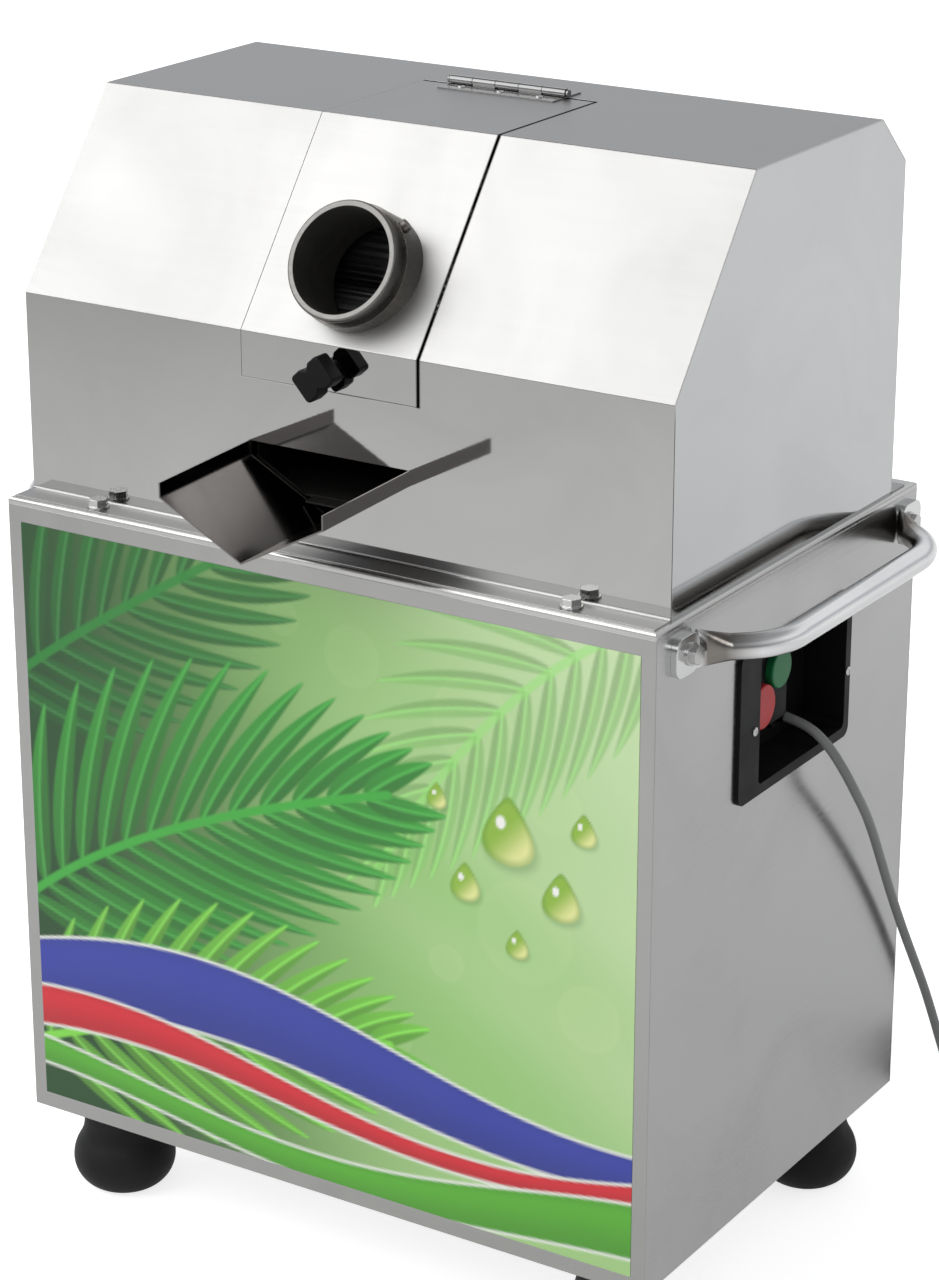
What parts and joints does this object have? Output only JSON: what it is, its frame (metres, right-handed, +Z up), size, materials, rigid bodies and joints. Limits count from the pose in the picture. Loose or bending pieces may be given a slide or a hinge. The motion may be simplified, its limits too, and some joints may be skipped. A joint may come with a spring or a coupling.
{
  "type": "sugarcane juicer",
  "caption": "Free-standing electric sugarcane juicer: sheet-steel cabinet on rubber feet, folded hood over a roller mill, hinged lid with a round feed tube, open juice gutter.",
  "frame": {"origin": "on the floor, under the middle of the machine's bounding box without its cord", "axes": "+X to the machine's right as seen from its front, +Y from the front to the back, +Z up"},
  "size_m": [0.7122, 0.7428, 0.884],
  "materials": {
    "brushed_sheet": "satin stainless sheet",
    "polished_tube": "polished",
    "bright_steel": "machined",
    "dark_collar": "dark satin",
    "mill_steel": "machined",
    "bronze": "plain bearing bronze",
    "painted_frame": "grey primer",
    "painted_drive": "blue enamel",
    "cast_pulley": "turned",
    "black_rubber": "matt",
    "black_plastic": "moulded",
    "green_plastic": "moulded",
    "red_plastic": "moulded",
    "grey_cord": "flexible sheath",
    "printed_sheet": "printed film"
  },
  "bodies": {
    "cabinet": {"base_plate": "brushed_sheet", "cord_coil": "grey_cord", "cord_gland": "black_plastic", "cord_tie": "black_plastic", "deck": "brushed_sheet", "drive_belt": "black_rubber", "drive_bolts": "bright_steel", "foot_bolts": "bright_steel", "foot_front_left": "black_rubber", "foot_front_right": "black_rubber", "foot_rear_left": "black_rubber", "foot_rear_right": "black_rubber", "frame": "painted_frame", "front_panel": "brushed_sheet", "front_print": "printed_sheet", "gearbox": "painted_drive", "gearbox_stand": "painted_frame", "hinge_hood_leaf": "bright_steel", "hinge_pin": "bright_steel", "hood_left_side": "brushed_sheet", "hood_right_side": "brushed_sheet", "hood_skin": "brushed_sheet", "juice_gutter": "brushed_sheet", "juice_tray": "brushed_sheet", "left_handle": "polished_tube", "left_panel": "brushed_sheet", "mains_cord": "grey_cord", "mains_plug": "black_plastic", "mill_left_plate": "mill_steel", "mill_right_plate": "mill_steel", "mill_tie_bars": "bright_steel", "motor_casing": "painted_drive", "panel_bolts": "bright_steel", "rear_panel": "brushed_sheet", "right_handle": "polished_tube", "right_panel": "brushed_sheet", "roller_bushes": "bronze", "switch_block": "black_plastic", "switch_box": "black_plastic", "waste_chute": "brushed_sheet"},
    "lid": {"lid_panel": "brushed_sheet", "hinge_lid_leaf": "bright_steel", "feed_tube": "polished_tube", "tube_collar": "dark_collar", "collar_screw": "bright_steel"},
    "latch": {"wing_knob": "black_plastic", "latch_tongue": "bright_steel"},
    "start_switch": {"start_button": "green_plastic"},
    "stop_switch": {"stop_button": "red_plastic"},
    "motor_rotor": {"motor_shaft": "bright_steel", "motor_pulley": "cast_pulley"},
    "worm_input": {"input_shaft": "bright_steel", "input_pulley": "cast_pulley"},
    "top_roll": {"top_roller": "bright_steel", "top_gear": "mill_steel"},
    "front_roll": {"front_roller": "bright_steel", "front_gear": "mill_steel"},
    "rear_roll": {"rear_roller": "bright_steel", "rear_gear": "mill_steel"}
  },
  "joints": [
    {"name": "motor_spin", "type": "hinge", "parent": "cabinet", "child": "motor_rotor", "pos_m": [0.17349, 0.1165, 0.17], "axis": [0, 1, 0], "continuous": true},
    {"name": "input_spin", "type": "hinge", "parent": "cabinet", "child": "worm_input", "pos_m": [0.17349, 0.1165, 0.72972], "axis": [0, 1, 0], "continuous": true},
    {"name": "top_roller_spin", "type": "hinge", "parent": "cabinet", "child": "top_roll", "pos_m": [0.005, -0.05251, 0.77972], "axis": [1, 0, 0], "continuous": true},
    {"name": "front_roller_spin", "type": "hinge", "parent": "cabinet", "child": "front_roll", "pos_m": [0.005, -0.09071, 0.72962], "axis": [1, 0, 0], "continuous": true},
    {"name": "rear_roller_spin", "type": "hinge", "parent": "cabinet", "child": "rear_roll", "pos_m": [0.005, -0.01431, 0.72962], "axis": [1, 0, 0], "continuous": true},
    {"name": "lid_hinge", "type": "hinge", "parent": "cabinet", "child": "lid", "pos_m": [-0.004, 0.0765, 0.8805], "axis": [-1, 0, 0], "range_deg": [0, 100]},
    {"name": "latch_turn", "type": "hinge", "parent": "lid", "child": "latch", "pos_m": [-0.0018, -0.1635, 0.718], "axis": [0, 1, 0], "range_deg": [0, 90]},
    {"name": "start_press", "type": "slide", "parent": "cabinet", "child": "start_switch", "axis": [-1, 0, 0], "range_m": [0, 0.004], "stiffness_N_per_m": 600},
    {"name": "stop_press", "type": "slide", "parent": "cabinet", "child": "stop_switch", "axis": [-1, 0, 0], "range_m": [0, 0.004], "stiffness_N_per_m": 600}
  ],
  "couplings": [
    {"joint": "input_spin", "follows": "motor_spin", "ratio": 0.5},
    {"joint": "top_roller_spin", "follows": "motor_spin", "ratio": 0.025},
    {"joint": "front_roller_spin", "follows": "motor_spin", "ratio": -0.025},
    {"joint": "rear_roller_spin", "follows": "motor_spin", "ratio": -0.025}
  ]
}
